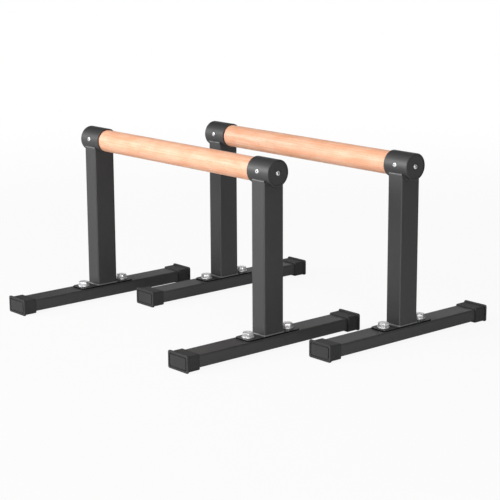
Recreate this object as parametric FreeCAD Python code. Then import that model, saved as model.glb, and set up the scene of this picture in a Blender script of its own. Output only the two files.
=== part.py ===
import FreeCAD, Part
import math
import os

# A pair of floor parallettes. Each stand is a beech grip bar held in two welded steel uprights,
# and each upright is bolted across a flat foot tube with a moulded cap pushed over either end.
# X runs along the bars, Y across them, Z up. The origin is on the floor, midway between the stands.
# All lengths are in millimetres.

# Whole stand
post_pitch = 441.0
bar_axis_height = 282.0
foot_length = 361.0

# How the two stands are set down beside each other
stand_spacing = 196.5
stand_stagger = 101.0

# Grip bar, a turned rod
bar_diameter = 37.5
bar_end_chamfer = 1.0

# Sockets, short tubes that take the bar's ends
socket_length = 49.5
socket_wall = 2.3
socket_clearance = 0.15
socket_rim_chamfer = 0.6

# End discs, set into the outer ends of the sockets
disc_thickness = 5.0
disc_recess = 0.3
disc_clearance = 0.1
disc_edge_chamfer = 0.5
disc_web_thickness = 4.2
disc_counterbore_room = 1.2

# Button-head screws that hold the bar, one through each disc and one through each socket's side
screw_diameter = 4.0
screw_head_diameter = 7.6
screw_head_height = 2.2
screw_head_rim = 0.5
screw_head_flat_share = 0.5
screw_key_flats = 2.5
screw_key_depth = 1.3
screw_point_length = 3.0
screw_clearance = 0.1
end_screw_length = 18.0
side_screw_length = 16.0
side_screw_seat_depth = 0.6
side_screw_seat_margin = 0.4
side_screw_lift_angle = 7.0

# Posts, upright rectangular tubes whose tops are coped to cradle the sockets
post_width = 30.0
post_depth = 40.0
post_wall = 2.0
post_corner_radius = 2.5
post_fit_up_gap = 0.2
post_horn_gap = 1.3
post_saddle_limit_share = 0.95

# Least inner corner radius of a folded tube, for each unit of its outer corner radius
inner_corner_share = 0.3

# Weld beads
weld_leg = 1.8
weld_rise = 2.6

# Base plates, flat bars welded under the posts
base_plate_thickness = 2.0
base_plate_ledge = 0.2
base_plate_corner_radius = 7.0
base_plate_edge_chamfer = 0.5
washer_gap = 9.4
washer_end_margin = 4.1

# Foot tubes
foot_tube_width = 40.0
foot_tube_height = 20.0
foot_tube_wall = 1.5
foot_tube_corner_radius = 2.5

# Moulded caps over the ends of the foot tubes
cap_clearance = 0.1
cap_wall = 2.1
cap_sole_thickness = 2.8
cap_side_lip = 1.6
cap_top_lip = 2.0
cap_sole_lip = 1.0
cap_length = 25.0
cap_end_thickness = 4.0
cap_flange_thickness = 3.4
cap_sleeve_corner_radius = 3.0
cap_flange_corner_radius = 3.2
cap_flange_edge_radius = 0.8
cap_sleeve_edge_radius = 0.6
cap_groove_margin = 3.5
cap_groove_width = 1.7
cap_groove_depth = 1.6
cap_groove_corner_radius = 2.4

# Hexagon bolts with washers, and the nuts they draw up against inside the foot tubes
bolt_diameter = 10.0
bolt_head_flats = 16.0
bolt_head_height = 6.4
bolt_head_bevel_angle = 30.0
bolt_head_crown_share = 0.95
bolt_hole_clearance = 0.5
bolt_thread_clearance = 0.1
bolt_tip_chamfer = 1.0
bolt_protrusion = 2.0
washer_diameter = 20.0
washer_thickness = 2.0
washer_edge_chamfer = 0.4
nut_flats = 16.0
nut_height = 7.0

# How far a cutting tool runs past the face that it cuts
cut_overrun = 5.0

# Sizes that follow from those above
socket_inner_radius = bar_diameter / 2 + socket_clearance
socket_outer_radius = socket_inner_radius + socket_wall
bar_length = post_pitch + socket_length - 2 * (disc_recess + disc_thickness)
cap_pocket_width = foot_tube_width + 2 * cap_clearance
cap_pocket_height = foot_tube_height + 2 * cap_clearance
cap_sleeve_width = cap_pocket_width + 2 * cap_wall
cap_sleeve_height = cap_wall + cap_pocket_height + cap_sole_thickness
cap_flange_width = cap_sleeve_width + 2 * cap_side_lip
cap_flange_height = cap_top_lip + cap_sleeve_height + cap_sole_lip
cap_sleeve_axis_height = cap_sole_lip + cap_sleeve_height / 2
foot_axis_height = cap_sole_lip + cap_sole_thickness + cap_pocket_height / 2
foot_tube_top = foot_axis_height + foot_tube_height / 2
base_plate_top = foot_tube_top + base_plate_thickness
base_plate_width = post_width + 2 * (weld_leg + base_plate_ledge)
bolt_spacing = post_depth + 2 * (weld_leg + washer_gap) + washer_diameter
base_plate_length = bolt_spacing + washer_diameter + 2 * washer_end_margin
disc_counterbore_depth = disc_thickness - disc_web_thickness
saddle_half_chord = min(
    post_depth / 2 - post_wall - post_horn_gap,
    post_saddle_limit_share * socket_outer_radius,
)
post_top = bar_axis_height - math.sqrt(socket_outer_radius**2 - saddle_half_chord**2)

along_x = FreeCAD.Vector(1, 0, 0)
along_y = FreeCAD.Vector(0, 1, 0)
upward = FreeCAD.Vector(0, 0, 1)
sides = {"left": -1, "right": 1}
ends = {"near": -1, "far": 1}


def post_x(side):
    return side * post_pitch / 2


def bolt_y(end):
    return end * bolt_spacing / 2


def rounded_rectangle(width, depth, radius):
    # A closed outline about the origin in the XY plane, with round corners.
    half_w, half_d = width / 2, depth / 2
    turn = radius * (1 - math.sqrt(0.5))
    edges = []
    for sx, sy in ((1, 1), (-1, 1), (-1, -1), (1, -1)):
        before = FreeCAD.Vector(sx * half_w, sy * (half_d - radius), 0)
        middle = FreeCAD.Vector(sx * (half_w - turn), sy * (half_d - turn), 0)
        after = FreeCAD.Vector(sx * (half_w - radius), sy * half_d, 0)
        if sx * sy < 0:
            before, after = after, before
        edges.append(Part.Arc(before, middle, after).toShape())
    corners = list(edges)
    for first, second in zip(corners, corners[1:] + corners[:1]):
        edges.append(Part.LineSegment(first.lastVertex().Point, second.firstVertex().Point).toShape())
    return Part.Wire(Part.__sortEdges__(edges))


def rounded_prism(width, depth, radius, height):
    # A bar of that section, standing on the XY plane.
    return Part.Face(rounded_rectangle(width, depth, radius)).extrude(upward * height)


def laid_along_y(shape, start, axis_height):
    # Tips an upright bar over so that it runs along +Y from start, with its axis at that height.
    shape.rotate(FreeCAD.Vector(), along_x, -90)
    shape.translate(FreeCAD.Vector(0, start, axis_height))
    return shape


def inner_corner_radius(outer_radius, wall):
    return max(outer_radius - wall, outer_radius * inner_corner_share)


def hexagon_prism(flats, height):
    corner_radius = flats / math.sqrt(3)
    points = []
    for step in range(7):
        angle = math.radians(60 * step)
        points.append(FreeCAD.Vector(corner_radius * math.cos(angle), corner_radius * math.sin(angle), 0))
    return Part.Face(Part.makePolygon(points)).extrude(upward * height)


def turned(outline):
    # A solid of revolution about Z from a closed outline of (radius, height) points.
    points = [FreeCAD.Vector(radius, 0, height) for radius, height in outline]
    return Part.Face(Part.makePolygon(points + points[:1])).revolve(FreeCAD.Vector(), upward, 360)


def edges_on_plane(shape, normal, offset):
    # The edges that lie wholly in the plane at that offset along that axis.
    tolerance = shape.BoundBox.DiagonalLength * 1e-6
    found = []
    for edge in shape.Edges:
        middle = edge.valueAt((edge.FirstParameter + edge.LastParameter) / 2)
        points = [vertex.Point for vertex in edge.Vertexes] + [middle]
        if all(abs(point.dot(normal) - offset) < tolerance for point in points):
            found.append(edge)
    return found


def bar_axis_point(x):
    return FreeCAD.Vector(x, 0, bar_axis_height)


def rod_along_x(radius, start, length):
    return Part.makeCylinder(radius, length, bar_axis_point(start), along_x)


def button_head_screw(length):
    # Stands on its point, with the underside of the head on the XY plane.
    head_radius = screw_head_diameter / 2
    crown_radius = screw_head_flat_share * head_radius
    shank_radius = screw_diameter / 2
    rim = FreeCAD.Vector(head_radius, 0, screw_head_rim)
    crown = FreeCAD.Vector(crown_radius, 0, screw_head_height)
    shoulder_height = screw_head_rim + (screw_head_height - screw_head_rim) * math.sqrt(0.5)
    shoulder_radius = crown_radius + (head_radius - crown_radius) * math.sqrt(0.5)
    shoulder = FreeCAD.Vector(shoulder_radius, 0, shoulder_height)
    lower = [
        crown,
        FreeCAD.Vector(0, 0, screw_head_height),
        FreeCAD.Vector(0, 0, -length),
        FreeCAD.Vector(shank_radius, 0, screw_point_length - length),
        FreeCAD.Vector(shank_radius, 0, 0),
        FreeCAD.Vector(head_radius, 0, 0),
        rim,
    ]
    edges = [Part.LineSegment(a, b).toShape() for a, b in zip(lower, lower[1:])]
    edges.append(Part.Arc(rim, shoulder, crown).toShape())
    screw = Part.Face(Part.Wire(edges)).revolve(FreeCAD.Vector(), upward, 360)
    key = hexagon_prism(screw_key_flats, screw_key_depth + cut_overrun)
    key.translate(FreeCAD.Vector(0, 0, screw_head_height - screw_key_depth))
    return screw.cut(key)


def screw_bore(length):
    # The hole that a screw of that length leaves below its seat.
    return Part.makeCylinder(
        screw_diameter / 2 + screw_clearance,
        length + cut_overrun,
        FreeCAD.Vector(0, 0, -length),
    )


def at_end_screw(shape, side):
    # Moves what was made on the XY plane to the end screw's seat in the disc, head outwards.
    shape.rotate(FreeCAD.Vector(), along_y, side * 90)
    seat = post_x(side) + side * (socket_length / 2 - disc_recess - disc_counterbore_depth)
    shape.translate(bar_axis_point(seat))
    return shape


def at_side_screw(shape, side):
    # The same for the screw in the near side of the socket, which sits a little above the axis.
    shape.rotate(FreeCAD.Vector(), along_x, 90 - side_screw_lift_angle)
    lift = math.radians(side_screw_lift_angle)
    outward = FreeCAD.Vector(0, -math.cos(lift), math.sin(lift))
    shape.translate(bar_axis_point(post_x(side)) + outward * (socket_outer_radius - side_screw_seat_depth))
    return shape


def grip_bar():
    bar = rod_along_x(bar_diameter / 2, -bar_length / 2, bar_length)
    rims = edges_on_plane(bar, along_x, -bar_length / 2) + edges_on_plane(bar, along_x, bar_length / 2)
    bar = bar.makeChamfer(bar_end_chamfer, rims)
    for side in sides.values():
        bar = bar.cut(at_end_screw(screw_bore(end_screw_length), side))
        bar = bar.cut(at_side_screw(screw_bore(side_screw_length), side))
    return bar


def socket(side):
    start = post_x(side) - socket_length / 2
    sleeve = rod_along_x(socket_outer_radius, start, socket_length)
    sleeve = sleeve.cut(rod_along_x(socket_inner_radius, start, socket_length))
    rims = []
    for offset in (start, start + socket_length):
        for edge in edges_on_plane(sleeve, along_x, offset):
            if edge.Curve.Radius > socket_inner_radius + socket_wall / 2:
                rims.append(edge)
    sleeve = sleeve.makeChamfer(socket_rim_chamfer, rims)
    seat_radius = screw_head_diameter / 2 + side_screw_seat_margin
    spot_face = Part.makeCylinder(seat_radius, cut_overrun)
    sleeve = sleeve.cut(at_side_screw(spot_face, side))
    return sleeve.cut(at_side_screw(screw_bore(socket_wall), side))


def end_disc(side):
    radius = socket_inner_radius - disc_clearance
    outer_face = post_x(side) + side * (socket_length / 2 - disc_recess)
    start = min(outer_face, outer_face - side * disc_thickness)
    disc = rod_along_x(radius, start, disc_thickness)
    disc = disc.makeChamfer(disc_edge_chamfer, edges_on_plane(disc, along_x, outer_face))
    counterbore_radius = screw_head_diameter / 2 + disc_counterbore_room
    counterbore = Part.makeCylinder(counterbore_radius, disc_counterbore_depth + cut_overrun)
    disc = disc.cut(at_end_screw(counterbore, side))
    return disc.cut(at_end_screw(screw_bore(disc_thickness), side))


def post(side):
    height = post_top - base_plate_top
    inner_radius = inner_corner_radius(post_corner_radius, post_wall)
    tube = rounded_prism(post_width, post_depth, post_corner_radius, height)
    bore = rounded_prism(post_width - 2 * post_wall, post_depth - 2 * post_wall, inner_radius, height)
    tube = tube.cut(bore)
    tube.translate(FreeCAD.Vector(post_x(side), 0, base_plate_top))
    saddle = rod_along_x(
        socket_outer_radius + post_fit_up_gap,
        post_x(side) - post_width / 2 - cut_overrun,
        post_width + 2 * cut_overrun,
    )
    return tube.cut(saddle)


def bolt_hole(end, top):
    # A clearance hole down through the wall that lies just under that height.
    return Part.makeCylinder(
        bolt_diameter / 2 + bolt_hole_clearance,
        2 * cut_overrun,
        FreeCAD.Vector(0, bolt_y(end), top - cut_overrun),
    )


def base_plate(side):
    plate = rounded_prism(
        base_plate_width,
        base_plate_length,
        base_plate_corner_radius,
        base_plate_thickness,
    )
    plate = plate.makeChamfer(base_plate_edge_chamfer, edges_on_plane(plate, upward, base_plate_thickness))
    for end in ends.values():
        plate = plate.cut(bolt_hole(end, base_plate_thickness))
    plate.translate(FreeCAD.Vector(post_x(side), 0, foot_tube_top))
    return plate


def base_weld(side):
    # A fillet all round the foot of the post.
    foot = rounded_rectangle(
        post_width + 2 * weld_leg,
        post_depth + 2 * weld_leg,
        post_corner_radius + weld_leg,
    )
    head = rounded_rectangle(post_width, post_depth, post_corner_radius)
    head.translate(upward * weld_leg)
    bead = Part.makeLoft([foot, head], True, True)
    bead = bead.cut(rounded_prism(post_width, post_depth, post_corner_radius, weld_leg))
    bead.translate(FreeCAD.Vector(post_x(side), 0, base_plate_top))
    return bead


def saddle_weld(side, face):
    # A fillet along the arc where the socket rests on one wide wall of the post.
    x = post_x(side) + face * post_width / 2
    corner = bar_axis_point(x) - upward * socket_outer_radius
    outline = [corner, corner + along_x * (face * weld_leg), corner - upward * weld_leg]
    spread = math.degrees(math.asin(saddle_half_chord / socket_outer_radius))
    section = Part.Face(Part.makePolygon(outline + outline[:1]))
    section.rotate(bar_axis_point(x), along_x, -spread)
    return section.revolve(bar_axis_point(x), along_x, 2 * spread)


def horn_weld(side, end):
    # A bead that fills the notch between the cut end of a narrow wall and the socket.
    # It stops short of the post's round corners.
    length = post_width - post_corner_radius
    start = post_x(side) - length / 2
    slope_top = post_depth / 2 - (post_wall + post_horn_gap) / 2
    outline = [
        FreeCAD.Vector(start, 0, post_top),
        FreeCAD.Vector(start, end * post_depth / 2, post_top),
        FreeCAD.Vector(start, end * slope_top, post_top + weld_rise),
        FreeCAD.Vector(start, 0, post_top + weld_rise),
    ]
    bead = Part.Face(Part.makePolygon(outline + outline[:1])).extrude(along_x * length)
    return bead.cut(rod_along_x(socket_outer_radius, start - cut_overrun, length + 2 * cut_overrun))


def welds(side):
    beads = [base_weld(side)]
    for direction in (-1, 1):
        beads.append(saddle_weld(side, direction))
        beads.append(horn_weld(side, direction))
    return beads


def foot_tube(side):
    length = foot_length - 2 * cap_end_thickness
    inner_radius = inner_corner_radius(foot_tube_corner_radius, foot_tube_wall)
    tube = rounded_prism(foot_tube_width, foot_tube_height, foot_tube_corner_radius, length)
    bore = rounded_prism(
        foot_tube_width - 2 * foot_tube_wall,
        foot_tube_height - 2 * foot_tube_wall,
        inner_radius,
        length,
    )
    tube = laid_along_y(tube.cut(bore), -length / 2, foot_axis_height)
    for end in ends.values():
        tube = tube.cut(bolt_hole(end, foot_tube_top))
    tube.translate(FreeCAD.Vector(post_x(side), 0, 0))
    return tube


def foot_cap(side, end):
    # A flanged sleeve with a blind pocket for the tube and a groove round the panel in its end face.
    # The sole is thicker than the other walls, and the flange stands up higher on top than under the sole.
    outer_end = -foot_length / 2
    flange = rounded_prism(
        cap_flange_width,
        cap_flange_height,
        cap_flange_corner_radius,
        cap_flange_thickness,
    )
    rims = edges_on_plane(flange, upward, 0) + edges_on_plane(flange, upward, cap_flange_thickness)
    flange = laid_along_y(flange.makeFillet(cap_flange_edge_radius, rims), outer_end, cap_flange_height / 2)
    sleeve = rounded_prism(cap_sleeve_width, cap_sleeve_height, cap_sleeve_corner_radius, cap_length)
    sleeve = sleeve.makeFillet(cap_sleeve_edge_radius, edges_on_plane(sleeve, upward, cap_length))
    sleeve = laid_along_y(sleeve, outer_end, cap_sleeve_axis_height)
    pocket = rounded_prism(cap_pocket_width, cap_pocket_height, foot_tube_corner_radius, cap_length)
    pocket = laid_along_y(pocket, outer_end + cap_end_thickness, foot_axis_height)
    panel_margin = cap_groove_margin + cap_groove_width
    panel = rounded_prism(
        cap_flange_width - 2 * panel_margin,
        cap_flange_height - 2 * panel_margin,
        inner_corner_radius(cap_groove_corner_radius, cap_groove_width),
        cap_groove_depth + cut_overrun,
    )
    groove = rounded_prism(
        cap_flange_width - 2 * cap_groove_margin,
        cap_flange_height - 2 * cap_groove_margin,
        cap_groove_corner_radius,
        cap_groove_depth + cut_overrun,
    ).cut(panel)
    groove = laid_along_y(groove, outer_end - cut_overrun, cap_flange_height / 2)
    cap = flange.fuse(sleeve).cut(pocket).cut(groove).removeSplitter()
    if end > 0:
        cap.rotate(FreeCAD.Vector(), upward, 180)
    cap.translate(FreeCAD.Vector(post_x(side), 0, 0))
    return cap


def foot_bolt(side, end):
    head_seat = base_plate_top + washer_thickness
    shank_length = washer_thickness + base_plate_thickness + foot_tube_wall + nut_height + bolt_protrusion
    crown_radius = bolt_head_crown_share * bolt_head_flats / 2
    corner_radius = bolt_head_flats / math.sqrt(3)
    bevel_drop = (corner_radius - crown_radius) * math.tan(math.radians(bolt_head_bevel_angle))
    bevelled = turned(
        [
            (0, 0),
            (corner_radius, 0),
            (corner_radius, bolt_head_height - bevel_drop),
            (crown_radius, bolt_head_height),
            (0, bolt_head_height),
        ]
    )
    head = hexagon_prism(bolt_head_flats, bolt_head_height).common(bevelled)
    shank_radius = bolt_diameter / 2
    shank = turned(
        [
            (0, 0),
            (shank_radius, 0),
            (shank_radius, bolt_tip_chamfer - shank_length),
            (shank_radius - bolt_tip_chamfer, -shank_length),
            (0, -shank_length),
        ]
    )
    bolt = head.fuse(shank)
    bolt.translate(FreeCAD.Vector(post_x(side), bolt_y(end), head_seat))
    return bolt


def foot_washer(side, end):
    washer = Part.makeCylinder(washer_diameter / 2, washer_thickness)
    washer = washer.makeChamfer(washer_edge_chamfer, edges_on_plane(washer, upward, washer_thickness))
    washer = washer.cut(Part.makeCylinder(bolt_diameter / 2 + bolt_hole_clearance, washer_thickness))
    washer.translate(FreeCAD.Vector(post_x(side), bolt_y(end), base_plate_top))
    return washer


def foot_nut(side, end):
    nut = hexagon_prism(nut_flats, nut_height)
    nut = nut.cut(Part.makeCylinder(bolt_diameter / 2 + bolt_thread_clearance, nut_height))
    nut.translate(FreeCAD.Vector(post_x(side), bolt_y(end), foot_tube_top - foot_tube_wall - nut_height))
    return nut


def stand_pieces():
    # Every piece of one stand by name, each as a list of solids, about the middle of the stand.
    pieces = {
        "grip_bar": [grip_bar()],
        "end_screws": [at_end_screw(button_head_screw(end_screw_length), s) for s in sides.values()],
        "side_screws": [at_side_screw(button_head_screw(side_screw_length), s) for s in sides.values()],
    }
    for name, side in sides.items():
        pieces[name + "_socket"] = [socket(side)]
        pieces[name + "_end_disc"] = [end_disc(side)]
        pieces[name + "_post"] = [post(side)]
        pieces[name + "_welds"] = welds(side)
        pieces[name + "_base_plate"] = [base_plate(side)]
        pieces[name + "_foot_tube"] = [foot_tube(side)]
        for where, end in ends.items():
            pieces[name + "_" + where + "_cap"] = [foot_cap(side, end)]
        pieces[name + "_foot_bolts"] = [foot_bolt(side, end) for end in ends.values()]
        pieces[name + "_foot_washers"] = [foot_washer(side, end) for end in ends.values()]
        pieces[name + "_foot_nuts"] = [foot_nut(side, end) for end in ends.values()]
    return pieces


def main():
    os.makedirs("parts", exist_ok=True)
    pieces = stand_pieces()
    half_step = FreeCAD.Vector(stand_stagger / 2, stand_spacing / 2, 0)
    for stand, place in (("front", -half_step), ("rear", half_step)):
        for name, solids in pieces.items():
            moved = []
            for solid in solids:
                copy = solid.copy()
                copy.translate(place)
                moved.append(copy)
            shape = moved[0] if len(moved) == 1 else Part.makeCompound(moved)
            shape.exportStep(os.path.join("parts", stand + "_" + name + ".step"))


main()
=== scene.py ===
import math

import bmesh
import bpy
from mathutils import Matrix, Vector


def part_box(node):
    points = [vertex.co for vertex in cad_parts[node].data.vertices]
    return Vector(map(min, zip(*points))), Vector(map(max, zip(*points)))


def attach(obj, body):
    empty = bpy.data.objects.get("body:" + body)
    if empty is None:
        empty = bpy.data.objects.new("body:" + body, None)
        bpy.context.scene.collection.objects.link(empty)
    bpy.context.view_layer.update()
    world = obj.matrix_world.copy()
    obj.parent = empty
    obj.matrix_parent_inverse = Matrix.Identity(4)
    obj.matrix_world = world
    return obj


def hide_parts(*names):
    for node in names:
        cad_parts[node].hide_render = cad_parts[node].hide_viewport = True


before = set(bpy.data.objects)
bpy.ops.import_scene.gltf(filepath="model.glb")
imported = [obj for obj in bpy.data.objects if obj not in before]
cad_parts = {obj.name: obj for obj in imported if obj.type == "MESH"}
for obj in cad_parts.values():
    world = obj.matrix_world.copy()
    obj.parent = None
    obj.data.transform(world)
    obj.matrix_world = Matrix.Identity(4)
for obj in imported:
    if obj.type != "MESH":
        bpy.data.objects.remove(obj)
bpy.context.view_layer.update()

mm = 0.001
stands = ("front", "rear")
sides = ("left", "right")
pureWhite = (1.0, 1.0, 1.0, 1.0)
noiseMean = 0.5  # noise textures run from 0 to 1
print("frame loaded:", len(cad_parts), "nodes")


class Sock:
    # one socket of a node tree; sums on it add Math nodes
    def __init__(self, tree, socket=None):
        self.tree = tree
        self.socket = socket

    def node(self, kind, settings=None, inputs=None, out=0):
        # a new node: its settings first, then the values or links of its sockets
        made = self.tree.nodes.new(kind)
        for name, value in (settings or {}).items():
            setattr(made, name, value)
        for name, value in (inputs or {}).items():
            for one in value if isinstance(value, list) else [value]:
                if isinstance(one, Sock):
                    self.tree.links.new(one.socket, made.inputs[name])
                else:
                    made.inputs[name].default_value = one
        return Sock(self.tree, made.outputs[out] if made.outputs else None)

    def scaled(self, factor):
        return self.node("ShaderNodeVectorMath", {"operation": "SCALE"}, {0: self, "Scale": factor})

    def length(self):
        return self.node("ShaderNodeVectorMath", {"operation": "LENGTH"}, {0: self}, "Value")

    def axis(self, letter):
        return self.node("ShaderNodeSeparateXYZ", None, {0: self}, letter)

    def mixed(self, first, second):
        # self is the factor between two colours
        return self.node("ShaderNodeMix", {"data_type": "RGBA"}, {0: self, 6: first, 7: second}, 2)

    def between(self, low, high):
        # 0 below low, 1 above high, smooth in between
        smooth = {"interpolation_type": "SMOOTHSTEP"}
        return self.node("ShaderNodeMapRange", smooth, {0: self, 1: low, 2: high})

    def __add__(self, other):
        return calc("ADD", self, other)

    def __radd__(self, other):
        return calc("ADD", other, self)

    def __sub__(self, other):
        return calc("SUBTRACT", self, other)

    def __rsub__(self, other):
        return calc("SUBTRACT", other, self)

    def __mul__(self, other):
        return calc("MULTIPLY", self, other)

    def __rmul__(self, other):
        return calc("MULTIPLY", other, self)

    def __truediv__(self, other):
        return calc("DIVIDE", self, other)

    def __rtruediv__(self, other):
        return calc("DIVIDE", other, self)


def calc(operation, *values, kind="ShaderNodeMath"):
    # one Math node on sockets and numbers, at least one of them a socket
    start = next(value for value in values if isinstance(value, Sock))
    return start.node(kind, {"operation": operation}, dict(enumerate(values)))


def vectorCalc(operation, *values):
    return calc(operation, *values, kind="ShaderNodeVectorMath")


def rgb(red, green, blue):
    # a colour as a picker shows it, from 0 to 255, in Blender's linear values
    def linear(value):
        share = value / 255
        return share / 12.92 if share <= 0.04045 else ((share + 0.055) / 1.055) ** 2.4

    return (linear(red), linear(green), linear(blue), 1.0)


def newMaterial(name):
    material = bpy.data.materials.new(name)
    material.use_nodes = True
    material.node_tree.nodes.clear()
    return material, Sock(material.node_tree)


def closeMaterial(start, settings, links):
    # constants and links on one Principled shader
    shader = start.node("ShaderNodeBsdfPrincipled", None, {**settings, **links})
    start.node("ShaderNodeOutputMaterial", None, {"Surface": shader})


def objectPlace(start):
    return start.node("ShaderNodeTexCoord", None, None, "Object")


def attribute(start, name):
    return start.node("ShaderNodeAttribute", {"attribute_name": name}, None, "Fac")


def noise(start, place, scale, detail=2.0, roughness=0.5):
    sockets = {"Vector": place, "Scale": scale, "Detail": detail, "Roughness": roughness}
    return start.node("ShaderNodeTexNoise", None, sockets, "Fac")


def bumped(start, values, height):
    sockets = {"Strength": values["bumpStrength"], "Distance": values["bumpHeight"], "Height": height}
    return start.node("ShaderNodeBump", None, sockets)


# Beech grips, lacquered satin
beech = {
    "pale": rgb(246, 199, 168),
    "warm": rgb(236, 165, 126),
    "brown": rgb(204, 130, 92),
    "ringSpacing": 3.4 * mm,
    "pithAway": (0.0, 0.085, -0.14),
    "ringWander": 5 * mm,
    "lateWood": (0.25, 1.0),
    "wanderCell": (450 * mm, 62 * mm),
    "cloudCell": (34 * mm, 13 * mm),
    "cloudSpan": (0.35, 0.65),
    "streakCell": (80 * mm, 3.4 * mm),
    "streakSpan": (0.35, 0.65),
    "fibreCell": (45 * mm, 0.7 * mm),
    "fibreSpan": (0.4, 0.7),
    "fleckCell": (6.0 * mm, 0.9 * mm),
    "fleckSpan": (0.62, 0.72),
    "fleckStrength": 0.6,
    "toneShares": {"cloud": 0.4, "streak": 0.35, "late": 0.25, "fibre": 0.35},
    "roughness": 0.49,
    "fibreRoughness": 0.16,
    "fleckRoughness": 0.06,
    "specular": 0.8,
    "fibreLift": 0.7,
    "fleckDip": 0.5,
    "bumpStrength": 0.18,
    "bumpHeight": 0.05 * mm,
}


def beechMaterial():
    material, start = newMaterial("beech")
    place = objectPlace(start)

    def grain(cell, detail=2.0, roughness=0.5):
        # noise in cells that long along the bar and that wide across it
        along, across = beech[cell]
        stretch = (1 / along, 1 / across, 1 / across)
        stretched = start.node("ShaderNodeMapping", None, {"Vector": place, "Scale": stretch})
        return noise(start, stretched, 1.0, detail, roughness)

    cloud = grain("cloudCell").between(*beech["cloudSpan"])
    streak = grain("streakCell").between(*beech["streakSpan"])
    fibre = grain("fibreCell", detail=3.0, roughness=0.6)
    fleck = grain("fleckCell", detail=1.0).between(*beech["fleckSpan"])
    # growth rings about a pith outside the bar, cut lengthwise
    fromPith = vectorCalc("SUBTRACT", place, beech["pithAway"])
    reach = vectorCalc("MULTIPLY", fromPith, (0.0, 1.0, 1.0)).length()
    wander = (grain("wanderCell") - noiseMean) * (2 * beech["ringWander"])
    rings = (reach + wander) / beech["ringSpacing"]
    wave = calc("SINE", rings * math.tau) * 0.5 + 0.5
    late = wave.between(*beech["lateWood"])
    shares = beech["toneShares"]
    tone = cloud * shares["cloud"] + streak * shares["streak"] + late * shares["late"]
    tone = tone + fibre.between(*beech["fibreSpan"]) * shares["fibre"]
    body = tone.mixed(beech["pale"], beech["warm"])
    rough = beech["roughness"] + (fibre - noiseMean) * beech["fibreRoughness"]
    links = {
        "Base Color": (fleck * beech["fleckStrength"]).mixed(body, beech["brown"]),
        "Roughness": rough + fleck * beech["fleckRoughness"],
        "Normal": bumped(start, beech, fibre * beech["fibreLift"] - fleck * beech["fleckDip"]),
    }
    closeMaterial(start, {"Specular IOR Level": beech["specular"]}, links)
    return material


# Matt black powder coat on the steel, smoother where it has run out over a weld
blackCoat = {
    "dark": rgb(34, 34, 35),
    "light": rgb(41, 41, 42),
    "grain": 0.7 * mm,
    "grainSpan": (0.35, 0.7),
    "cloudsPerMetre": 14.0,
    "cloudSpan": (0.3, 0.7),
    "speck": 1.68 * mm,
    "speckSpan": (0.66, 0.74),
    "toneShares": {"cloud": 0.6, "grain": 0.4, "speck": 0.3},
    "roughness": 0.52,
    "weldRoughness": 0.38,
    "grainRoughness": 0.2,
    "cloudRoughness": 0.1,
    "specular": 1.0,
    "ior": 1.48,
    "bumpStrength": 0.4,
    "bumpHeight": 0.06 * mm,
    # painted shade on the sides of the base plates
    "plateEdgeShade": rgb(34, 34, 35),
    "plateEdgeShadeBand": 0.4 * mm,
    # painted highlight on the weld beads
    "thinCoat": rgb(106, 106, 106),
}


def blackCoatMaterial(name, roughness, plateTop=None, highlightName=None):
    material, start = newMaterial(name)
    place = objectPlace(start)
    grain = noise(start, place, 1 / blackCoat["grain"], roughness=0.6)
    cloud = noise(start, place, blackCoat["cloudsPerMetre"], detail=3.0)
    speck = noise(start, place, 1 / blackCoat["speck"], detail=1.0).between(*blackCoat["speckSpan"])
    shares = blackCoat["toneShares"]
    tone = cloud.between(*blackCoat["cloudSpan"]) * shares["cloud"]
    tone = tone + grain.between(*blackCoat["grainSpan"]) * shares["grain"] + speck * shares["speck"]
    rough = roughness + (grain - noiseMean) * blackCoat["grainRoughness"]
    links = {
        "Base Color": tone.mixed(blackCoat["dark"], blackCoat["light"]),
        "Roughness": rough + (cloud - noiseMean) * blackCoat["cloudRoughness"],
        "Normal": bumped(start, blackCoat, grain),
    }
    if plateTop is not None:
        # painted shade: below the plate's top its sides turn to a dark metal that hardly reflects,
        # standing in for the shadow line along the plate's edges
        edgeShade = 1 - place.axis("Z").between(plateTop - blackCoat["plateEdgeShadeBand"], plateTop)
        links["Base Color"] = edgeShade.mixed(links["Base Color"], blackCoat["plateEdgeShade"])
        links["Metallic"] = edgeShade
    if highlightName is not None:
        # painted highlight: some of the welds are painted a pale grey that stands in for the light
        # they catch
        highlight = attribute(start, highlightName)
        links["Base Color"] = highlight.mixed(links["Base Color"], blackCoat["thinCoat"])
    closeMaterial(start, {"Specular IOR Level": blackCoat["specular"], "IOR": blackCoat["ior"]}, links)
    return material


# Moulded foot caps, a grained plastic
mouldedCap = {
    "dark": rgb(31, 31, 32),
    "light": rgb(39, 39, 40),
    "grain": 0.9 * mm,
    "grainSmoothness": 0.6,
    "grainMean": 0.4,
    "cloudsPerMetre": 26.0,
    "cloudSpan": (0.3, 0.7),
    "toneShares": {"cloud": 0.7, "grain": 0.3},
    "roughness": 0.64,
    "grainRoughness": 0.15,
    "cloudRoughness": 0.12,
    "specular": 0.62,
    "bumpStrength": 0.4,
    "bumpHeight": 0.05 * mm,
}


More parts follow.
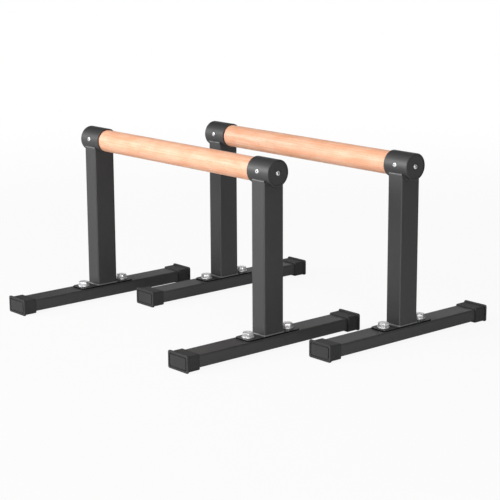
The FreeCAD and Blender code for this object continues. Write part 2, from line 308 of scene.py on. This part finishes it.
def mouldedCapMaterial():
    material, start = newMaterial("mouldedCap")
    place = objectPlace(start)
    cells = {
        "Vector": place,
        "Scale": 1 / mouldedCap["grain"],
        "Smoothness": mouldedCap["grainSmoothness"],
    }
    grain = start.node("ShaderNodeTexVoronoi", {"feature": "SMOOTH_F1"}, cells, "Distance")
    cloud = noise(start, place, mouldedCap["cloudsPerMetre"], detail=3.0)
    shares = mouldedCap["toneShares"]
    tone = cloud.between(*mouldedCap["cloudSpan"]) * shares["cloud"] + grain * shares["grain"]
    rough = mouldedCap["roughness"] + (grain - mouldedCap["grainMean"]) * mouldedCap["grainRoughness"]
    links = {
        "Base Color": tone.mixed(mouldedCap["dark"], mouldedCap["light"]),
        "Roughness": rough + (cloud - noiseMean) * mouldedCap["cloudRoughness"],
        "Normal": bumped(start, mouldedCap, grain),
    }
    closeMaterial(start, {"Specular IOR Level": mouldedCap["specular"]}, links)
    return material


# Bright zinc on bolts, washers, nuts and screws
brightZinc = {
    "pale": rgb(248, 248, 249),
    "grey": rgb(222, 223, 225),
    # painted shade in the screws' key recesses
    "recess": rgb(30, 30, 31),
    "blotchesPerMetre": 420.0,
    "blotchSpan": (0.35, 0.65),
    "scratchesPerMetre": 2600.0,
    "metallic": 0.75,
    "roughness": 0.4,
    "blotchRoughness": 0.24,
    "scratchRoughness": 0.12,
    "bumpStrength": 0.15,
    "bumpHeight": 0.02 * mm,
}


def brightZincMaterial():
    material, start = newMaterial("brightZinc")
    place = objectPlace(start)
    blotch = noise(start, place, brightZinc["blotchesPerMetre"], detail=3.0, roughness=0.6)
    scratch = noise(start, place, brightZinc["scratchesPerMetre"], detail=1.0)
    plated = blotch.between(*brightZinc["blotchSpan"]).mixed(brightZinc["pale"], brightZinc["grey"])
    # painted shade: the key recesses are painted near black and not metallic
    recess = attribute(start, "recess")
    rough = brightZinc["roughness"] + (blotch - noiseMean) * brightZinc["blotchRoughness"]
    links = {
        "Base Color": recess.mixed(plated, brightZinc["recess"]),
        "Metallic": (1 - recess) * brightZinc["metallic"],
        "Roughness": rough + (scratch - noiseMean) * brightZinc["scratchRoughness"],
        "Normal": bumped(start, brightZinc, scratch),
    }
    closeMaterial(start, {}, links)
    return material


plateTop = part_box("front_left_base_plate")[1].z
finishes = {
    "beech": beechMaterial(),
    "coat": blackCoatMaterial("blackCoat", blackCoat["roughness"]),
    "weldCoat": blackCoatMaterial("blackWeldCoat", blackCoat["weldRoughness"], highlightName="thinCoat"),
    "plateCoat": blackCoatMaterial("blackPlateCoat", blackCoat["roughness"], plateTop),
    "moulded": mouldedCapMaterial(),
    "zinc": brightZincMaterial(),
}
nodeFinish = {
    "grip_bar": "beech",
    "socket": "coat",
    "end_disc": "coat",
    "post": "coat",
    "base_plate": "plateCoat",
    "foot_tube": "coat",
    "cap": "moulded",
    "foot_nuts": "zinc",
}
for nodeName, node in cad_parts.items():
    for ending, finish in nodeFinish.items():
        if nodeName.endswith(ending):
            node.data.materials.clear()
            node.data.materials.append(finishes[finish])
print("materials made:", len(finishes))

# How a finished mesh is closed and shaded
meshFinish = {"mergeReach": 0.002 * mm, "sharpAngle": math.radians(35)}


def newTree(name, inputs):
    # a geometry tree with those named inputs: its start, its input sockets and their identifiers
    tree = bpy.data.node_groups.new(name, "GeometryNodeTree")
    tree.interface.new_socket("Geometry", in_out="INPUT", socket_type="NodeSocketGeometry")
    tree.interface.new_socket("Geometry", in_out="OUTPUT", socket_type="NodeSocketGeometry")
    identifiers = {}
    for label, kind in inputs.items():
        made = tree.interface.new_socket(label, in_out="INPUT", socket_type="NodeSocket" + kind)
        identifiers[label] = made.identifier
    entry = tree.nodes.new("NodeGroupInput")
    sockets = {label: Sock(tree, entry.outputs[label]) for label in ["Geometry", *inputs]}
    return Sock(tree), sockets, identifiers


def closeTree(start, shape, material):
    real = start.node("GeometryNodeRealizeInstances", None, {"Geometry": shape})
    dressed = start.node("GeometryNodeSetMaterial", None, {"Geometry": real, "Material": material})
    start.node("NodeGroupOutput", None, {"Geometry": dressed})


def meshObject(name, points, edges=(), faces=()):
    mesh = bpy.data.meshes.new(name)
    mesh.from_pydata(points, edges, faces)
    piece = bpy.data.objects.new(name, mesh)
    bpy.context.scene.collection.objects.link(piece)
    return piece


def plainMesh(piece):
    # the evaluated shape as the piece's own mesh, closed and facing outwards
    scope = bpy.context.evaluated_depsgraph_get()
    mesh = bpy.data.meshes.new_from_object(piece.evaluated_get(scope), depsgraph=scope)
    piece.modifiers.clear()
    piece.data = mesh
    shape = bmesh.new()
    shape.from_mesh(mesh)
    bmesh.ops.remove_doubles(shape, verts=shape.verts, dist=meshFinish["mergeReach"])
    bmesh.ops.recalc_face_normals(shape, faces=shape.faces)
    for face in shape.faces:
        face.smooth = True
    shape.to_mesh(mesh)
    shape.free()
    mesh.set_sharp_from_angle(angle=meshFinish["sharpAngle"])
    return piece


def dress(piece, tree, identifiers, values):
    modifier = piece.modifiers.new(tree.name, "NODES")
    modifier.node_group = tree
    for label, value in values.items():
        modifier[identifiers[label]] = value
    plainMesh(piece)


def floatAttribute(piece, name, domain, values):
    made = piece.data.attributes.new(name, "FLOAT", domain)
    for spot, value in zip(made.data, values):
        spot.value = value


def vectorAttribute(piece, name, values):
    made = piece.data.attributes.new(name, "FLOAT_VECTOR", "POINT")
    for spot, value in zip(made.data, values):
        spot.vector = value


def placeOf(stand, side):
    # the corners that the small pieces are set out from
    return {
        "post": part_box(f"{stand}_{side}_post"),
        "socket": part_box(f"{stand}_{side}_socket"),
        "plate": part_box(f"{stand}_{side}_base_plate"),
        "washers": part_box(f"{stand}_{side}_foot_washers"),
        "bolts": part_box(f"{stand}_{side}_foot_bolts"),
    }


# Weld beads: round the foot of each post, along the socket's cradle and across the post's two horns
weldBead = {
    "leg": 1.8 * mm,
    "hornReach": 3.3 * mm,
    "hornRise": 2.9 * mm,
    "postCorner": 2.5 * mm,
    "cornerSteps": 6,
    "arcSteps": 24,
    "sliceSteps": 11,
    "step": 0.4 * mm,
    "pitch": 2.3 * mm,
    "ripple": 0.13,
    "bow": 0.35,
    "hump": {"foot": 0.22, "cradle": 0.22, "horn": -1.0},
    "rippleShare": {"foot": 1.0, "cradle": 1.0, "horn": 0.4},
    # how much of the pale painted highlight each kind of bead takes
    "thinCoat": {"foot": 1.0, "cradle": 0.0, "horn": 0.3},
    "wander": 0.16,
    "wanderCell": 6.9 * mm,
    "seed": 4.0,
}


def weldTree():
    inputs = {
        "Step": "Float",
        "Pitch": "Float",
        "Ripple": "Float",
        "Bow": "Float",
        "Wander": "Float",
        "Seed": "Float",
        "Material": "Material",
    }
    start, given, identifiers = newTree("weldRipples", inputs)

    def stored(shape, name, value, kind="FLOAT"):
        settings = {"data_type": kind, "domain": "POINT"}
        sockets = {"Geometry": shape, "Name": name, "Value": value}
        return start.node("GeometryNodeStoreNamedAttribute", settings, sockets)

    def named(name, kind="FLOAT"):
        settings = {"data_type": kind}
        return start.node("GeometryNodeInputNamedAttribute", settings, {"Name": name}, "Attribute")

    position = start.node("GeometryNodeInputPosition")
    path = start.node("GeometryNodeMeshToCurve", None, {0: given["Geometry"]})
    spacing = {"Curve": path, "Length": given["Step"]}
    path = start.node("GeometryNodeResampleCurve", {"mode": "LENGTH"}, spacing)
    path = stored(path, "run", start.node("GeometryNodeSplineParameter", None, None, "Length"))
    path = stored(path, "root", position, "FLOAT_VECTOR")

    # a slice whose straight sides lie on the two plates, swept along the path
    quarter = {
        "Resolution": weldBead["sliceSteps"],
        "Radius": 1.0,
        "Sweep Angle": math.pi / 2,
        "Connect Center": True,
    }
    arc = start.node("GeometryNodeCurveArc", {"mode": "RADIUS"}, quarter)
    arc = stored(arc, "slice", position, "FLOAT_VECTOR")
    sweep = {"Curve": path, "Profile Curve": arc, "Fill Caps": True}
    swept = start.node("GeometryNodeCurveToMesh", None, sweep)

    # ripples lie across the bead, bowed at the crest, and the whole bead wanders a little
    onSlice = named("slice", "FLOAT_VECTOR")
    root = named("root", "FLOAT_VECTOR")
    run, hump = named("run"), named("hump")
    crest = (onSlice.axis("X") + onSlice.axis("Y")) * math.sqrt(0.5)
    phase = (run / given["Pitch"] + crest * given["Bow"]) * math.pi
    scallop = calc("ABSOLUTE", calc("SINE", phase)) - 0.5
    cells = root.scaled(1 / weldBead["wanderCell"])
    field = {"Vector": cells, "W": given["Seed"], "Scale": 1.0, "Detail": 1.0}
    drift = start.node("ShaderNodeTexNoise", {"noise_dimensions": "4D"}, field, "Fac")
    wander = given["Wander"] * (drift - noiseMean)
    uneven = (given["Ripple"] * scallop + wander) * named("rippleShare")

    # hump moves the arc's centre out along both legs and so sets how far the bead bulges
    radius = calc("SQRT", (1 - hump) * (1 - hump) + hump * hump)
    toe = calc("ARCSINE", hump / radius)
    turn = calc("ARCTAN2", onSlice.axis("Y"), onSlice.axis("X"))
    angle = turn * (1 + toe * (4 / math.pi)) - toe
    reach = radius + uneven - weldBead["ripple"] / 2
    rim = onSlice.length()
    first = calc("MAXIMUM", rim * (hump + reach * calc("COSINE", angle)), 0.0)
    second = calc("MAXIMUM", rim * (hump + reach * calc("SINE", angle)), 0.0)
    firstLeg = named("firstLeg", "FLOAT_VECTOR").scaled(first)
    secondLeg = named("secondLeg", "FLOAT_VECTOR").scaled(second)
    spot = vectorCalc("ADD", root, vectorCalc("ADD", firstLeg, secondLeg))
    bead = start.node("GeometryNodeSetPosition", None, {"Geometry": swept, "Position": spot})
    closeTree(start, bead, given["Material"])
    return start.tree, identifiers


def weldPaths(place):
    # every bead of one post as (kind, [(root, first leg, second leg)])
    postLow, postHigh = place["post"]
    socketLow, socketHigh = place["socket"]
    leg, corner = weldBead["leg"], weldBead["postCorner"]
    centre = (postLow + postHigh) / 2
    half = (postHigh - postLow) / 2
    axisZ = (socketLow.z + socketHigh.z) / 2
    radius = (socketHigh.z - socketLow.z) / 2
    up = Vector((0, 0, 1))
    foot = []
    for quarter, (sx, sy) in enumerate(((1, 1), (-1, 1), (-1, -1), (1, -1))):
        hub = Vector((centre.x, centre.y, place["plate"][1].z))
        hub.x += sx * (half.x - corner)
        hub.y += sy * (half.y - corner)
        for step in range(weldBead["cornerSteps"] + 1):
            angle = math.pi / 2 * (quarter + step / weldBead["cornerSteps"])
            out = Vector((math.cos(angle), math.sin(angle), 0))
            foot.append((hub + out * corner, out * leg, up * leg))
    paths = [("foot", foot)]
    halfChord = half.y - weldBead["hornReach"]
    spread = math.asin(halfChord / radius)
    hornZ = axisZ - math.sqrt(radius**2 - halfChord**2)
    riseZ = hornZ + weldBead["hornRise"]
    riseY = math.sqrt(radius**2 - (axisZ - riseZ) ** 2)
    for face in (-1, 1):
        hub = Vector((centre.x + face * half.x, centre.y, axisZ))
        cradle = []
        for step in range(weldBead["arcSteps"] + 1):
            angle = spread * (2 * step / weldBead["arcSteps"] - 1)
            out = Vector((0, math.sin(angle), -math.cos(angle)))
            cradle.append((hub + out * radius, Vector((face * leg, 0, 0)), out * leg))
        paths.append(("cradle", cradle))
        flat = Vector((0, face * weldBead["hornReach"], 0))
        steep = Vector((0, face * (riseY - halfChord), weldBead["hornRise"]))
        horn = []
        for x in (postLow.x + corner / 2, postHigh.x - corner / 2):
            horn.append((Vector((x, centre.y + face * halfChord, hornZ)), flat, steep))
        paths.append(("horn", horn))
    return paths


def weldBeads(stand, tree, identifiers):
    points, edges, firstLegs, secondLegs, kinds = [], [], [], [], []
    for side in sides:
        for kind, path in weldPaths(placeOf(stand, side)):
            base = len(points)
            for root, firstLeg, secondLeg in path:
                points.append(root)
                firstLegs.append(firstLeg)
                secondLegs.append(secondLeg)
                kinds.append(kind)
            edges += [(base + i, base + i + 1) for i in range(len(path) - 1)]
            if kind == "foot":
                edges.append((base + len(path) - 1, base))  # closes on itself
    piece = meshObject(f"{stand}WeldBeads", points, edges)
    vectorAttribute(piece, "firstLeg", firstLegs)
    vectorAttribute(piece, "secondLeg", secondLegs)
    for name in ("hump", "rippleShare", "thinCoat"):
        floatAttribute(piece, name, "POINT", [weldBead[name][kind] for kind in kinds])
    sizes = {
        "Step": weldBead["step"],
        "Pitch": weldBead["pitch"],
        "Ripple": weldBead["ripple"],
        "Bow": weldBead["bow"],
        "Wander": weldBead["wander"],
        "Seed": weldBead["seed"],
        "Material": finishes["weldCoat"],
    }
    dress(piece, tree, identifiers, sizes)
    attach(piece, f"{stand}_stand")
    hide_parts(f"{stand}_left_welds", f"{stand}_right_welds")


weldRipples, weldInputs = weldTree()
for stand in stands:
    weldBeads(stand, weldRipples, weldInputs)
print("weld beads made")


def hexRadius(flats, angle):
    # how far a hexagon reaches at that angle
    turn = (angle + math.pi / 6) % (math.pi / 3) - math.pi / 6
    return flats / 2 / math.cos(turn)


def ringShape(name, rings, steps):
    # a turned or faceted shape, closed at both poles; a ring is its reach and its height at an angle
    points = []
    for reach, height in rings:
        for step in range(steps):
            angle = math.tau * step / steps
            out = reach(angle)
            points.append((out * math.cos(angle), out * math.sin(angle), height(angle)))
    faces = []
    for ring in range(len(rings) - 1):
        for step in range(steps):
            after = (step + 1) % steps
            low, high = ring * steps, (ring + 1) * steps
            faces.append((low + step, high + step, high + after, low + after))
    faces.append(tuple(range(steps)))
    last = (len(rings) - 1) * steps
    faces.append(tuple(last + step for step in reversed(range(steps))))
    return meshObject(name, points, (), faces)


def always(value):
    return lambda angle: value


# Hexagon bolts through the base plates
hexBolt = {
    "crownShare": 0.95,
    "poleShare": 0.4,
    "bevelAngle": math.radians(30),
    "cornerCut": 0.985,
    "edgeBevel": 0.25 * mm,
    "edgeSegments": 2,
    "edgeAngle": math.radians(24),
    "steps": 72,
    "shankRadius": 5 * mm,
    "threadPitch": 1.5 * mm,
    "threadDepth": 0.8 * mm,
    "point": 1 * mm,
    "seed": 3,
}
# Button-head screws into the bar, with a hexagon key recess
keyScrew = {
    "headRadius": 3.8 * mm,
    "headHeight": 2.2 * mm,
    "rim": 0.5 * mm,
    "flatShare": 0.5,
    "undersideShare": 0.3,
    "keyFlats": 2.5 * mm,
    "keyDepth": 1.3 * mm,
    "keyLead": 0.15 * mm,
    "keyFloorRing": 1 * mm,
    "domeRings": 6,
    "steps": 48,
    "shankRadius": 2 * mm,
    "threadPitch": 1.8 * mm,
    "threadDepth": 0.5 * mm,
    "point": 3 * mm,
    "endLength": 18 * mm,
    "sideLength": 16 * mm,
    "sideSeat": 0.6 * mm,
    "sideLift": math.radians(7),
    "seed": 5,
}
# Both kinds' shanks
threadedShank = {"sides": 24, "ringsPerTurn": 6, "tipShare": 0.15}


def hexHead(flats, height):
    crown = hexBolt["crownShare"] * flats / 2
    pole = hexBolt["poleShare"] * crown
    tipLimit = hexBolt["cornerCut"] * flats / math.sqrt(3)

    def outline(angle):
        return min(hexRadius(flats, angle), tipLimit)

    def bevelled(angle):
        return height - (outline(angle) - crown) * math.tan(hexBolt["bevelAngle"])

    rings = [
        (always(pole), always(height)),
        (always(crown), always(height)),
        (outline, bevelled),
        (outline, always(0.0)),
        (always(pole), always(0.0)),
    ]
    head = ringShape("hexHead", rings, hexBolt["steps"])
    soft = head.modifiers.new("softEdges", "BEVEL")
    soft.width = hexBolt["edgeBevel"]
    soft.segments = hexBolt["edgeSegments"]
    soft.limit_method = "ANGLE"
    soft.angle_limit = hexBolt["edgeAngle"]
    return plainMesh(head)


def buttonHead():
    radius, height, rim = keyScrew["headRadius"], keyScrew["headHeight"], keyScrew["rim"]
    flat = keyScrew["flatShare"] * radius
    floor = height - keyScrew["keyDepth"]
    lead = keyScrew["keyLead"]

    def keyWall(extra):
        return lambda angle: hexRadius(keyScrew["keyFlats"], angle) + extra

    rings = [
        (keyWall(-keyScrew["keyFloorRing"]), always(floor)),
        (keyWall(0.0), always(floor)),
        (keyWall(0.0), always(height - lead)),
        (keyWall(lead), always(height)),
    ]
    for step in range(keyScrew["domeRings"] + 1):
        turn = math.pi / 2 * step / keyScrew["domeRings"]
        out = flat + (radius - flat) * math.sin(turn)
        up = rim + (height - rim) * math.cos(turn)
        rings.append((always(out), always(up)))
    rings.append((always(radius), always(0.0)))
    rings.append((always(keyScrew["undersideShare"] * radius), always(0.0)))
    steps = keyScrew["steps"]
    head = ringShape("buttonHead", rings, steps)
    # the two bands inside the key and its round floor, the last face but one, take the painted shade
    recess = [1.0] * (2 * steps) + [0.0] * (len(head.data.polygons) - 2 * steps)
    recess[-2] = 1.0
    floatAttribute(head, "recess", "FACE", recess)
    return plainMesh(head)


def fastenerTree():
    # a head on a threaded shank, set on every point and turned at random about its own axis
    inputs = {
        "Head": "Object",
        "Shank Radius": "Float",
        "Shank Length": "Float",
        "Thread Pitch": "Float",
        "Thread Depth": "Float",
        "Point": "Float",
        "Seed": "Int",
        "Material": "Material",
    }
    start, given, identifiers = newTree("threadedFastener", inputs)
    head = start.node("GeometryNodeObjectInfo", None, {"Object": given["Head"]}, "Geometry")
    cylinder = {
        "Vertices": threadedShank["sides"],
        "Side Segments": given["Shank Length"] / given["Thread Pitch"] * threadedShank["ringsPerTurn"],
        "Radius": given["Shank Radius"],
        "Depth": given["Shank Length"],
    }
    blank = start.node("GeometryNodeMeshCylinder", None, cylinder, "Mesh")
    place = start.node("GeometryNodeInputPosition")
    x, y, z = place.axis("X"), place.axis("Y"), place.axis("Z")
    turns = z / given["Thread Pitch"] - calc("ARCTAN2", y, x) / math.tau
    ridge = calc("ABSOLUTE", calc("FRACT", turns) * 2 - 1)
    fromTip = z + given["Shank Length"] / 2
    taper = calc("MINIMUM", fromTip / given["Point"] + threadedShank["tipShare"], 1.0)
    share = taper * (1 - ridge * given["Thread Depth"] / given["Shank Radius"])
    below = z - given["Shank Length"] / 2
    threaded = start.node("ShaderNodeCombineXYZ", None, {"X": x * share, "Y": y * share, "Z": below})
    shank = start.node("GeometryNodeSetPosition", None, {"Geometry": blank, "Position": threaded})
    whole = start.node("GeometryNodeJoinGeometry", None, {"Geometry": [head, shank]})
    vectors = {"data_type": "FLOAT_VECTOR"}
    facing = start.node("GeometryNodeInputNamedAttribute", vectors, {"Name": "facing"}, "Attribute")
    aim = start.node("FunctionNodeAlignRotationToVector", {"axis": "Z"}, {"Vector": facing})
    anyTurn = {2: 0.0, 3: math.tau, "Seed": given["Seed"]}
    spin = start.node("FunctionNodeRandomValue", {"data_type": "FLOAT"}, anyTurn, 1)
    aboutAxis = {"Axis": (0.0, 0.0, 1.0), "Angle": spin}
    twist = start.node("FunctionNodeAxisAngleToRotation", None, aboutAxis)
    both = {"Rotation": aim, "Rotate By": twist}
    turned = start.node("FunctionNodeRotateRotation", {"rotation_space": "LOCAL"}, both)
    everywhere = {"Points": given["Geometry"], "Instance": whole, "Rotation": turned}
    spread = start.node("GeometryNodeInstanceOnPoints", None, everywhere)
    closeTree(start, spread, given["Material"])
    return start.tree, identifiers


threadedFastener, fastenerInputs = fastenerTree()


def fasteners(name, body, replaced, seats, head, values, length):
    piece = meshObject(name, [seat for seat, facing in seats])
    vectorAttribute(piece, "facing", [facing for seat, facing in seats])
    sizes = {
        "Head": head,
        "Shank Radius": values["shankRadius"],
        "Shank Length": length,
        "Thread Pitch": values["threadPitch"],
        "Thread Depth": values["threadDepth"],
        "Point": values["point"],
        "Seed": values["seed"],
        "Material": finishes["zinc"],
    }
    dress(piece, threadedFastener, fastenerInputs, sizes)
    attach(piece, body)
    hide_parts(*replaced)


def boltSeats(stand):
    # on top of every washer
    seats = []
    for side in sides:
        low, high = placeOf(stand, side)["washers"]
        radius = (high.x - low.x) / 2
        for y in (low.y + radius, high.y - radius):
            seats.append((Vector((low.x + radius, y, high.z)), Vector((0, 0, 1))))
    return seats


def screwSeats(stand):
    # in the middle of each end disc, and on the near side of each socket
    endLow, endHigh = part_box(f"{stand}_end_screws")
    ends, flanks = [], []
    lift = keyScrew["sideLift"]
    flankOut = Vector((0, -math.cos(lift), math.sin(lift)))
    for side, out in zip(sides, (-1, 1)):
        socketLow, socketHigh = placeOf(stand, side)["socket"]
        centre = (socketLow + socketHigh) / 2
        radius = (socketHigh.z - socketLow.z) / 2
        outerX = endHigh.x if out > 0 else endLow.x
        seat = Vector((outerX - out * keyScrew["headHeight"], centre.y, centre.z))
        ends.append((seat, Vector((out, 0, 0))))
        flanks.append((centre + flankOut * (radius - keyScrew["sideSeat"]), flankOut))
    return ends, flanks


boltLow, boltHigh = placeOf("front", "left")["bolts"]
boltSeatZ = boltSeats("front")[0][0].z
boltFlats = (boltHigh.x - boltLow.x) * math.sqrt(3) / 2  # the box is as wide as the corners
boltHead = hexHead(boltFlats, boltHigh.z - boltSeatZ)
boltLength = boltSeatZ - boltLow.z
screwHead = buttonHead()
for stand in stands:
    body = f"{stand}_stand"
    boltNodes = [f"{stand}_{side}_foot_bolts" for side in sides]
    fasteners(f"{stand}FootBolts", body, boltNodes, boltSeats(stand), boltHead, hexBolt, boltLength)
    for label, seats in zip(("end", "side"), screwSeats(stand)):
        name = f"{stand}{label.capitalize()}Screws"
        screwNodes = [f"{stand}_{label}_screws"]
        fasteners(name, body, screwNodes, seats, screwHead, keyScrew, keyScrew[f"{label}Length"])
for spare in (boltHead, screwHead):
    bpy.data.objects.remove(spare)
print("bolts and screws made")

# Flat washers, punched with a rolled edge
flatWasher = {"hole": 5.5 * mm, "edgeRound": 0.45 * mm, "edgeSteps": 3, "steps": 64}


def washerTree():
    inputs = {
        "Radius": "Float",
        "Hole": "Float",
        "Thickness": "Float",
        "Edge Round": "Float",
        "Edge Steps": "Int",
        "Steps": "Int",
        "Material": "Material",
    }
    start, given, identifiers = newTree("flatWashers", inputs)
    circle = {"Resolution": given["Steps"], "Radius": (given["Radius"] + given["Hole"]) / 2}
    ring = start.node("GeometryNodeCurvePrimitiveCircle", {"mode": "RADIUS"}, circle, "Curve")
    ring = start.node("GeometryNodeSetCurveNormal", {"mode": "Z_UP"}, {"Curve": ring})
    oblong = {"Width": given["Radius"] - given["Hole"], "Height": given["Thickness"]}
    section = start.node("GeometryNodeCurvePrimitiveQuadrilateral", {"mode": "RECTANGLE"}, oblong)
    rolled = {"Curve": section, "Count": given["Edge Steps"], "Radius": given["Edge Round"]}
    section = start.node("GeometryNodeFilletCurve", {"mode": "POLY"}, rolled)
    washer = start.node("GeometryNodeCurveToMesh", None, {"Curve": ring, "Profile Curve": section})
    everywhere = {"Points": given["Geometry"], "Instance": washer}
    spread = start.node("GeometryNodeInstanceOnPoints", None, everywhere)
    closeTree(start, spread, given["Material"])
    return start.tree, identifiers


def footWashers(stand, tree, identifiers):
    low, high = placeOf(stand, "left")["washers"]
    thickness = high.z - low.z
    half = Vector((0, 0, thickness / 2))
    piece = meshObject(f"{stand}FootWashers", [seat - half for seat, facing in boltSeats(stand)])
    sizes = {
        "Radius": (high.x - low.x) / 2,
        "Hole": flatWasher["hole"],
        "Thickness": thickness,
        "Edge Round": flatWasher["edgeRound"],
        "Edge Steps": flatWasher["edgeSteps"],
        "Steps": flatWasher["steps"],
        "Material": finishes["zinc"],
    }
    dress(piece, tree, identifiers, sizes)
    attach(piece, f"{stand}_stand")
    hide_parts(*[f"{stand}_{side}_foot_washers" for side in sides])


flatWashers, washerInputs = washerTree()
for stand in stands:
    footWashers(stand, flatWashers, washerInputs)
print("washers made")

# Studio: a white floor, a big soft lamp at the front left and weaker ones all round
studio = {
    "floorSize": 60.0,
    "floorColour": rgb(215, 215, 215),
    "nearWhite": 0.92,
    "shadowReach": (0.7, 2.5),
    "mirroredShare": 0.25,
    "roomStrength": 0.09,
    "aim": (0.0, 0.0, 0.17),
    "lamps": {
        "keyLamp": {"place": (-1.85, -3.08, 1.36), "size": (1.6, 1.3), "power": 105.0},
        "topLamp": {"place": (0.0, -1.6, 2.45), "size": (1.4, 1.4), "power": 34.0},
        "rightLamp": {"place": (1.9, -0.8, 2.2), "size": (0.7, 0.7), "power": 10.0},
        "backLamp": {"place": (-2.2, 2.5, 0.88), "size": (2.4, 1.0), "power": 9.0},
        "fillLamp": {"place": (2.0, -1.8, 0.2), "size": (2.4, 0.35), "power": 25.0},
        "rimLamp": {"place": (0.7, 1.9, 2.1), "size": (0.5, 0.5), "power": 5.0},
    },
}


def whiteFloor():
    half = studio["floorSize"] / 2
    corners = [(-half, -half, 0), (half, -half, 0), (half, half, 0), (-half, half, 0)]
    floor = meshObject("studioFloor", corners, (), [(0, 1, 2, 3)])
    material, start = newMaterial("studioFloor")
    lit = start.node("ShaderNodeBsdfDiffuse", None, {"Color": studio["floorColour"]})
    white = start.node("ShaderNodeEmission", None, {"Color": pureWhite, "Strength": 1.0})

    def rayIs(kind):
        return start.node("ShaderNodeLightPath", None, None, f"Is {kind} Ray")

    seen = rayIs("Camera") + (rayIs("Glossy") + rayIs("Transmission")) * studio["mirroredShare"]
    # close to the object part of the lit floor stays, and with it the shadow
    away = objectPlace(start).length().between(*studio["shadowReach"])
    share = seen * (studio["nearWhite"] + away * (1 - studio["nearWhite"]))
    mixed = start.node("ShaderNodeMixShader", None, {0: share, 1: lit, 2: white})
    start.node("ShaderNodeOutputMaterial", None, {"Surface": mixed})
    floor.data.materials.append(material)


def softLamp(name, place, size, power):
    data = bpy.data.lights.new(name, "AREA")
    data.shape = "RECTANGLE"
    data.size, data.size_y = size
    data.energy = power
    lamp = bpy.data.objects.new(name, data)
    bpy.context.scene.collection.objects.link(lamp)
    lamp.visible_camera = False
    lamp.location = place
    lamp.rotation_euler = (Vector(studio["aim"]) - lamp.location).to_track_quat("-Z", "Y").to_euler()


def greyRoom():
    world = bpy.data.worlds.new("greyRoom")
    bpy.context.scene.world = world
    world.use_nodes = True
    background = world.node_tree.nodes["Background"]
    background.inputs["Color"].default_value = pureWhite
    background.inputs["Strength"].default_value = studio["roomStrength"]


whiteFloor()
for lampName, lamp in studio["lamps"].items():
    softLamp(lampName, **lamp)
greyRoom()

# Camera where the photographer stood
photoCamera = {
    "place": (1.9299, -1.6604, 0.6921),
    "focalPixels": 1556.7,
    "framePixels": 500,
    "sensor": 36.0,
    "yaw": math.radians(49.07),
    "pitch": math.radians(-12.777),
    "roll": math.radians(-0.284),
}


def standCamera():
    yaw, pitch, roll = photoCamera["yaw"], photoCamera["pitch"], photoCamera["roll"]
    data = bpy.data.cameras.new("photoCamera")
    data.sensor_width = photoCamera["sensor"]
    data.lens = photoCamera["sensor"] * photoCamera["focalPixels"] / photoCamera["framePixels"]
    camera = bpy.data.objects.new("photoCamera", data)
    bpy.context.scene.collection.objects.link(camera)
    right = Vector((math.cos(yaw), math.sin(yaw), 0))
    level = Vector((-math.sin(yaw), math.cos(yaw), 0))
    ahead = level * math.cos(pitch) + Vector((0, 0, math.sin(pitch)))
    up = right.cross(ahead)
    tiltedRight = right * math.cos(roll) + up * math.sin(roll)
    tiltedUp = up * math.cos(roll) - right * math.sin(roll)
    turn = Matrix((tiltedRight, tiltedUp, -ahead)).transposed().to_4x4()
    camera.matrix_world = Matrix.Translation(photoCamera["place"]) @ turn
    bpy.context.scene.camera = camera


standCamera()
bpy.context.scene.view_settings.view_transform = "Standard"
print("studio and camera set")
